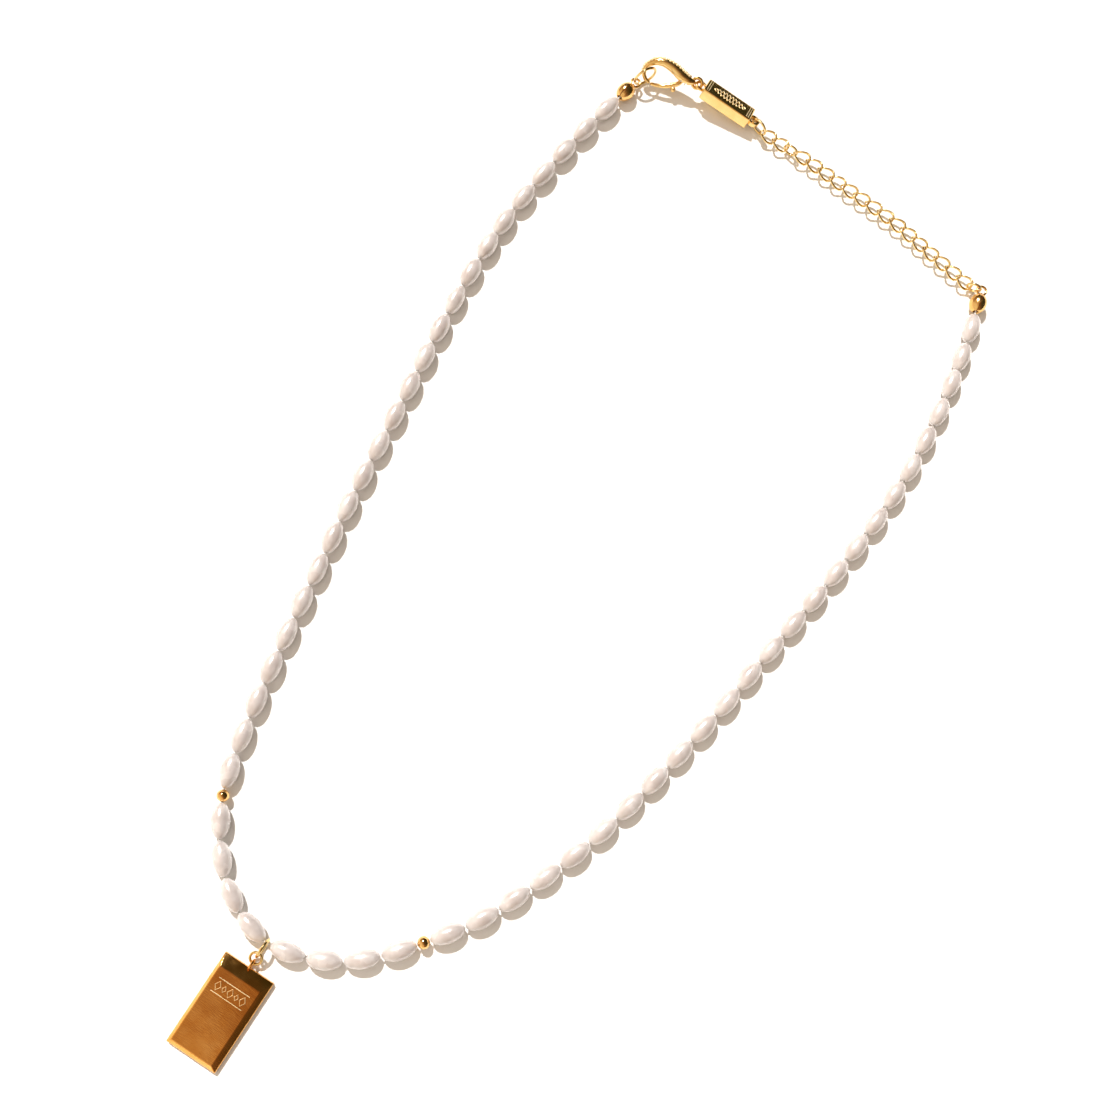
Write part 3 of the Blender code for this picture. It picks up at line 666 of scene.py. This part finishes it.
link_form = wire_ring("link_form", LINK_HALF_WIDTH, LINK_WIRE, around=48, sides=12)
spare = (LINK_HALF_LENGTH - LINK_HALF_WIDTH) * MM
for vertex in link_form.data.vertices:
    share = max(-1.0, min(1.0, vertex.co.x / (0.55 * MM)))
    vertex.co.x += spare * share
for vertex in link_form.data.vertices:
    roll = LINK_TWIST / 2 * vertex.co.x / (LINK_HALF_LENGTH * MM)
    vertex.co = Matrix.Rotation(roll, 3, "X") @ vertex.co
link_form.data.materials.append(wire_plate)
for name in sorted(nodes):
    if name.startswith("chain_link_"):
        roll = joints[name + "_roll"]
        x_axis = Vector(roll["axis"])
        y_axis = Vector((0.0, 0.0, 1.0)).cross(x_axis)
        turn = Matrix((x_axis, y_axis, Vector((0.0, 0.0, 1.0)))).transposed().to_4x4()
        link = copy_piece(link_form, "curb_link_" + name[-2:])
        place_mesh(link, Matrix.Translation(roll["pos_m"]) @ turn)
        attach(link, name)
        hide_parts(name)
bpy.data.objects.remove(link_form)

# ------------------------------------------------------------------- clasp
# A cast lever clasp: a claw with an eye at its tail, a spring-loaded gate
# turning on a riveted pin, and a beaded band along the back of the claw.
CLAW_SPINE = (
    (0.75, 0.0, 0.5), (1.7, -0.1, 0.85), (3.2, -0.6, 1.1), (5.0, -1.6, 0.95),
    (6.9, -2.1, 0.78), (8.6, -1.8, 0.62), (9.8, -0.85, 0.5), (10.1, 0.35, 0.44),
    (9.6, 1.35, 0.38), (8.9, 1.8, 0.34),
)
GATE_SPINE = (
    (3.0, 0.5, 0.4), (3.7, 1.05, 0.46), (5.0, 1.6, 0.46), (6.6, 2.0, 0.4), (8.25, 2.05, 0.3),
)
GATE_PIVOT = Vector((3.0, 0.15, 0.0)) * MM
GATE_SLOT = 1.16
SLOT_LENGTH = 3.0
SLOT_DEPTH = 2.3
SLOT_SPOT = Vector((3.35, 0.6, 0.0)) * MM
HUB_RADIUS = 0.53
HUB_CLEARANCE = 0.04
GATE_WIDTH = 0.76
SLIMMER = 0.97
EYE_RADIUS = 0.9
EYE_WIRE = 0.6
NUB_SPOT = Vector((4.1, 2.05, 0.0)) * MM
NUB_RADIUS = 0.5
CLASP_PIN_RADIUS = 0.22
CLASP_PIN_LENGTH = 1.7
BEAD_ROWS = (-0.42, 0.0, 0.42)
BEAD_SIZE = 0.27
BEAD_STATIONS = (8, 44)
BEAD_SINK = 0.95
SPINE_STEPS = 6
SPRING_RADIUS = 0.095
SPRING_BEND = (
    (-0.76, -0.35, 0.0), (-0.8, -0.15, 0.0), (-0.84, 0.05, 0.0), (-0.84, 0.25, 0.0),
    (-0.82, 0.45, 0.0), (-0.77, 0.63, 0.0), (-0.7, 0.8, 0.0),
)

cast_plate = gold_finish("cast gold plate", (0.82, 0.53, 0.19), (0.9, 0.64, 0.28), (0.1, 0.22), 0.03)
# The ornament lines, ribs and back beads get a paler gold: a painted highlight for the light their bright cuts
# catch.
ornament_painted_highlight = gold_finish("ornament with painted highlight", (0.9, 0.72, 0.42), (0.98, 0.82, 0.55), (0.42, 0.55), 0.01)
spring_wire = gold_finish("steel spring wire", (0.55, 0.53, 0.5), (0.7, 0.68, 0.65), (0.2, 0.35))


def frame_at(point, x_axis, z_axis):
    """A placement from a point, a direction of X and a direction of Z."""
    x_axis = Vector(x_axis).normalized()
    y_axis = Vector(z_axis).cross(x_axis).normalized()
    turn = Matrix((x_axis, y_axis, x_axis.cross(y_axis))).transposed().to_4x4()
    return Matrix.Translation(Vector(point)) @ turn


def fine_spine(spine):
    """Smooth points and radii through the knots of a bent bar."""
    knots = [Vector(knot) for knot in spine]
    knots = [knots[0] * 2 - knots[1]] + knots + [knots[-1] * 2 - knots[-2]]
    points, radii = [], []
    for number in range(1, len(knots) - 2):
        a, b, c, d = knots[number - 1:number + 3]
        for step in range(SPINE_STEPS):
            t = step / SPINE_STEPS
            knot = 0.5 * ((2 * b) + (c - a) * t + (2 * a - 5 * b + 4 * c - d) * t * t
                          + (3 * b - a - 3 * c + d) * t ** 3)
            points.append(Vector((knot.x, knot.y, 0.0)) * MM)
            radii.append(knot.z * SLIMMER)
    points.append(Vector((knots[-2].x, knots[-2].y, 0.0)) * MM)
    radii.append(knots[-2].z * SLIMMER)
    return points, radii


def rounded_tips(points, radii):
    """Two more points at each end, so that a bent bar ends in a round tip."""
    for end, inner in ((0, 1), (-1, -2)):
        way = (points[end] - points[inner]).normalized() * radii[end] * MM
        tip, size = points[end], radii[end]
        for reach, share in ((0.5, 0.84), (0.85, 0.5)):
            if end == 0:
                points.insert(0, tip + way * reach)
                radii.insert(0, size * share)
            else:
                points.append(tip + way * reach)
                radii.append(size * share)
    return points, radii


def cut_away(obj, cutter):
    pick(obj)
    cut = obj.modifiers.new("Cut", "BOOLEAN")
    cut.operation = "DIFFERENCE"
    cut.solver = "EXACT"
    cut.object = cutter
    bpy.ops.object.modifier_apply(modifier=cut.name)
    bpy.data.objects.remove(cutter)


def soft_edges(obj, width, segments=3, angle=30.0):
    pick(obj)
    edges = obj.modifiers.new("Edges", "BEVEL")
    edges.width = width * MM
    edges.segments = segments
    edges.limit_method = "ANGLE"
    edges.angle_limit = math.radians(angle)
    bpy.ops.object.modifier_apply(modifier=edges.name)


def round_bar(name, radius, depth, sides=32, edge=0.06):
    deselect()
    bpy.ops.mesh.primitive_cylinder_add(radius=radius * MM, depth=depth * MM, vertices=sides)
    bar = bpy.context.active_object
    bar.name = name
    if edge:
        soft_edges(bar, edge, 3, 50.0)
    return bar


def block(name, size):
    deselect()
    bpy.ops.mesh.primitive_cube_add(size=1.0)
    obj = bpy.context.active_object
    obj.name = name
    for vertex in obj.data.vertices:
        vertex.co = Vector([c * s * MM for c, s in zip(vertex.co, size)])
    return obj


def hand_over(obj, material, body, node):
    """Gives a finished piece its material, its body and the node it covers."""
    if not obj.data.materials:
        obj.data.materials.append(material)
    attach(obj, body)
    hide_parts(node)


tail_hinge = joints["clasp_roll"]
gate_hinge = joints["gate_open"]
clasp_place = frame_at(tail_hinge["pos_m"], tail_hinge["axis"], -Vector(gate_hinge["axis"]))

claw_points, claw_radii = fine_spine(CLAW_SPINE)
claw_points, claw_radii = rounded_tips(claw_points, claw_radii)
claw = round_tube("claw", claw_points, 1.0, sides=8, radii=claw_radii)
slot_tool = block("slot_tool", (SLOT_LENGTH, SLOT_DEPTH, GATE_SLOT))
place_mesh(slot_tool, Matrix.Translation(SLOT_SPOT))
cut_away(claw, slot_tool)
soft_edges(claw, 0.05, 2, 45.0)
smooth(claw, 40.0)
eye = wire_ring("eye", EYE_RADIUS, EYE_WIRE)
claw.data.materials.clear()
claw.data.materials.append(cast_plate)
eye.data.materials.append(cast_plate)
claw_parts = [claw, eye]
for row in BEAD_ROWS:
    for number in range(*BEAD_STATIONS):
        here, there = claw_points[number], claw_points[number + 1]
        outward = (there - here).cross(Vector((0.0, 0.0, 1.0))).normalized()
        tilt = Matrix.Rotation(row, 3, (there - here).normalized())
        spot = here + tilt @ outward * (claw_radii[number] * BEAD_SINK * MM)
        if number % 2 == (1 if row else 0):
            deselect()
            bpy.ops.mesh.primitive_uv_sphere_add(
                segments=12, ring_count=8, radius=BEAD_SIZE * MM, location=spot,
            )
            grain = bpy.context.active_object
            place_mesh(grain, grain.matrix_world)
            smooth(grain)
            grain.data.materials.append(ornament_painted_highlight)
            claw_parts.append(grain)
claw = join_meshes("beaded_claw", claw_parts)
place_mesh(claw, clasp_place)
hand_over(claw, cast_plate, "clasp", "clasp_body")

gate_points, gate_radii = fine_spine(GATE_SPINE)
gate_points, gate_radii = rounded_tips(gate_points, gate_radii)
lever = round_tube("lever", gate_points, 1.0, sides=6, radii=gate_radii)
hub = round_bar("hub", HUB_RADIUS, GATE_WIDTH - HUB_CLEARANCE)
smooth(hub)
place_mesh(hub, Matrix.Translation(GATE_PIVOT))
deselect()
bpy.ops.mesh.primitive_uv_sphere_add(segments=24, ring_count=16, radius=NUB_RADIUS * MM)
nub = bpy.context.active_object
place_mesh(nub, Matrix.Translation(NUB_SPOT))
smooth(nub)
lever = join_meshes("thumb_gate", [lever, hub, nub])
place_mesh(lever, clasp_place)
hand_over(lever, cast_plate, "clasp_gate", "clasp_gate")

rivet = round_bar("clasp_rivet", CLASP_PIN_RADIUS, CLASP_PIN_LENGTH, 24, 0.08)
smooth(rivet)
place_mesh(rivet, clasp_place @ Matrix.Translation(GATE_PIVOT))
hand_over(rivet, spring_wire, "clasp", "clasp_pin")

leaf = [Vector(knot) * MM + GATE_PIVOT for knot in SPRING_BEND]
spring = round_tube("gate_spring", leaf, SPRING_RADIUS, sides=3)
place_mesh(spring, clasp_place)
hand_over(spring, spring_wire, "clasp", "clasp_spring")

# ----------------------------------------------------------------- tag bar
# A chunky cast bar between clasp and extender: bevelled edges, a raised rib
# pair near each end, a fine scroll between them, a loop and a drilled lug.
TAG_LENGTH = 10.2
TAG_WIDTH = 3.6
TAG_THICKNESS = 2.4
TAG_ROLL = math.radians(-20.0)
TAG_EDGE = 0.3
TAG_LOOP_REACH = 0.72
TAG_LUG_REACH = 0.75
TAG_LUG_RADIUS = 1.18
TAG_LUG_HOLE = 0.7
SCROLL_WIRE = 0.09
SCROLL_HALF = 3.4
SCROLL_HIGH = 0.85
SCROLL_WAVES = 5.0
RIB_SIZE = (0.16, 2.9, 0.16)
RIB_OFFSETS = (0.55, 0.95)
TAG_LOOP_RADIUS = 0.95
TAG_LOOP_WIRE = 0.56
TAG_LUG_THICKNESS = 0.88


def scroll(reach, height, waves, shift, lift):
    """A fine raised wave line along X on a flat face."""
    points = []
    for step in range(97):
        share = step / 96
        angle = 2 * math.pi * waves * share + shift
        fade = math.sin(math.pi * share) ** 0.5
        points.append(Vector(((2 * share - 1) * reach, height * fade * math.sin(angle), lift)) * MM)
    return points


tag_place = frame_at(joints["tag_roll"]["pos_m"], joints["tag_roll"]["axis"], (0.0, 0.0, 1.0))
tag_place = tag_place @ Matrix.Rotation(TAG_ROLL, 4, "X")
bar = block("bar", (TAG_LENGTH, TAG_WIDTH, TAG_THICKNESS))
soft_edges(bar, TAG_EDGE, 4)
smooth(bar, 30.0)
bar.data.materials.append(cast_plate)
tag_parts = [bar]
for end in (-1, 1):
    for offset in RIB_OFFSETS:
        rib = block("rib", RIB_SIZE)
        soft_edges(rib, 0.05, 2)
        rib_spot = Vector((end * (TAG_LENGTH / 2 - offset), 0.0, TAG_THICKNESS / 2))
        place_mesh(rib, Matrix.Translation(rib_spot * MM))
        rib.data.materials.append(ornament_painted_highlight)
        tag_parts.append(rib)
tag_top = TAG_THICKNESS / 2 + 0.01
for shift in (0.0, math.pi):
    wave = scroll(SCROLL_HALF, SCROLL_HIGH, SCROLL_WAVES, shift, tag_top)
    line = round_tube("scroll", wave, SCROLL_WIRE)
    line.data.materials.append(ornament_painted_highlight)
    tag_parts.append(line)
lug = round_bar("lug", TAG_LUG_RADIUS, TAG_LUG_THICKNESS, 40, 0.1)
drill = round_bar("drill", TAG_LUG_HOLE, 4.0, 32, 0.0)
cut_away(lug, drill)
soft_edges(lug, 0.06, 2, 60.0)
smooth(lug, 35.0)
lug.data.materials.clear()
lug.data.materials.append(cast_plate)
place_mesh(lug, Matrix.Translation(Vector((TAG_LENGTH / 2 + TAG_LUG_REACH, 0.0, 0.0)) * MM))
tag_parts.append(lug)
tag_loop = wire_ring("tag_loop", TAG_LOOP_RADIUS, TAG_LOOP_WIRE)
place_mesh(tag_loop, Matrix.Translation(Vector((-TAG_LENGTH / 2 - TAG_LOOP_REACH, 0.0, 0.0)) * MM))
tag_loop.data.materials.append(cast_plate)
tag_parts.append(tag_loop)
hole_tool = round_bar("hole_tool", TAG_LUG_HOLE, 4.0, 32, 0.0)
place_mesh(hole_tool, Matrix.Translation(Vector((TAG_LENGTH / 2 + TAG_LUG_REACH, 0.0, 0.0)) * MM))
cut_away(bar, hole_tool)
smooth(bar, 30.0)
tag = join_meshes("scrolled_tag", tag_parts)
place_mesh(tag, tag_place)
hand_over(tag, cast_plate, "tag", "tag_bar")

# ----------------------------------------------------------------- pendant
# A small cast ingot with one broad sloped shoulder at the top and narrow
# ones round the rest, hand polished, a lozenge border and a soldered eye.
PENDANT_WIDTH = 9.2
PENDANT_LENGTH = 15.8
PENDANT_THICKNESS = 1.7
PENDANT_LOOP_HEIGHT = 1.2
PENDANT_LOOP_RADIUS = 0.75
PENDANT_LOOP_WIRE = 0.45
SHOULDERS = {"left": 0.55, "right": 1.0, "top": 2.1, "bottom": 0.75}
SHOULDER_DROP = 0.75
LOZENGE_PITCH = 1.15
LOZENGE_WIRE = 0.09
LARGE_LOZENGE = (0.5, 0.75)
SMALL_LOZENGE = (0.34, 0.5)
MARK_DROP = 2.6
MARK_HALF = 2.9
MARK_EDGE = 1.15
MARK_LINE_WIRE = 0.07

ingot_plate = gold_finish("polished ingot plate", (0.88, 0.42, 0.1), (0.96, 0.52, 0.16), (0.05, 0.13), 0.05)
ingot_tree = ingot_plate.node_tree
ingot_bump = next(node for node in ingot_tree.nodes if node.type == "BUMP")
ingot_place = next(node for node in ingot_tree.nodes if node.type == "TEX_COORD").outputs["Object"]
swell = ingot_tree.nodes.new("ShaderNodeBump")
swell.inputs["Strength"].default_value = 1.0
swell.inputs["Distance"].default_value = 0.2 * MM
ingot_tree.links.new(add_noise(ingot_tree, ingot_place, 170.0, 1.2), swell.inputs["Height"])
ingot_tree.links.new(swell.outputs["Normal"], ingot_bump.inputs["Normal"])

pendant_hinge = joints["pendant_swing"]
pendant_place = frame_at(pendant_hinge["pos_m"], -Vector(pendant_hinge["axis"]), (0.0, 0.0, 1.0))
pendant_middle = -PENDANT_LOOP_RADIUS + 0.12 - PENDANT_LENGTH / 2
pendant_low = -PENDANT_LOOP_HEIGHT
pendant_high = PENDANT_THICKNESS - PENDANT_LOOP_HEIGHT
ingot = block("ingot", (PENDANT_WIDTH, PENDANT_LENGTH, PENDANT_THICKNESS))
pick(ingot)
bpy.ops.object.mode_set(mode="EDIT")
bpy.ops.mesh.select_mode(type="FACE")
bpy.ops.mesh.select_all(action="DESELECT")
shell = bmesh.from_edit_mesh(ingot.data)
for face in shell.faces:
    face.select = face.normal.z > 0.9
bmesh.update_edit_mesh(ingot.data)
bpy.ops.mesh.inset(thickness=0.5 * MM, depth=0.0)
shell = bmesh.from_edit_mesh(ingot.data)
for vertex in shell.verts:
    if vertex.select:
        right = vertex.co.x > 0
        upper = vertex.co.y > 0
        half_width, half_length = PENDANT_WIDTH / 2, PENDANT_LENGTH / 2
        vertex.co.x = (half_width - SHOULDERS["right"] if right else SHOULDERS["left"] - half_width) * MM
        vertex.co.y = (half_length - SHOULDERS["top"] if upper else SHOULDERS["bottom"] - half_length) * MM
    elif vertex.co.z > 0:
        vertex.co.z -= SHOULDER_DROP * MM
bmesh.update_edit_mesh(ingot.data)
bpy.ops.object.mode_set(mode="OBJECT")
soft_edges(ingot, 0.14, 4, 12.0)
smooth(ingot, 25.0)
place_mesh(ingot, Matrix.Translation(Vector((0.0, pendant_middle, (pendant_low + pendant_high) / 2)) * MM))
ingot.data.materials.append(ingot_plate)
pendant_parts = [ingot]
mark_line = pendant_middle + PENDANT_LENGTH / 2 - SHOULDERS["top"] - MARK_DROP
mark_top = pendant_high + 0.005
mark_shift = (SHOULDERS["left"] - SHOULDERS["right"]) / 2
for number in range(-2, 3):
    middle = Vector((mark_shift + number * LOZENGE_PITCH, mark_line, mark_top))
    wide, high = LARGE_LOZENGE if number % 2 == 0 else SMALL_LOZENGE
    lozenge = [middle + Vector(step) for step in ((wide, 0, 0), (0, high, 0), (-wide, 0, 0), (0, -high, 0))]
    lozenge = round_tube("lozenge", [p * MM for p in lozenge], LOZENGE_WIRE, closed=True)
    lozenge.data.materials.append(ornament_painted_highlight)
    pendant_parts.append(lozenge)
for offset in (-MARK_EDGE, MARK_EDGE):
    ends = [Vector((mark_shift + side * MARK_HALF, mark_line + offset, mark_top)) * MM for side in (-1, 1)]
    line = round_tube("fine_line", ends, MARK_LINE_WIRE)
    line.data.materials.append(ornament_painted_highlight)
    pendant_parts.append(line)
pendant_eye = wire_ring("pendant_eye", PENDANT_LOOP_RADIUS, PENDANT_LOOP_WIRE)
place_mesh(pendant_eye, Matrix.Rotation(math.pi / 2, 4, "Y"))
pendant_eye.data.materials.append(ingot_plate)
pendant_parts.append(pendant_eye)
pendant = join_meshes("engraved_ingot", pendant_parts)
place_mesh(pendant, pendant_place)
hand_over(pendant, ingot_plate, "pendant", "pendant_bar")

bpy.context.view_layer.update()
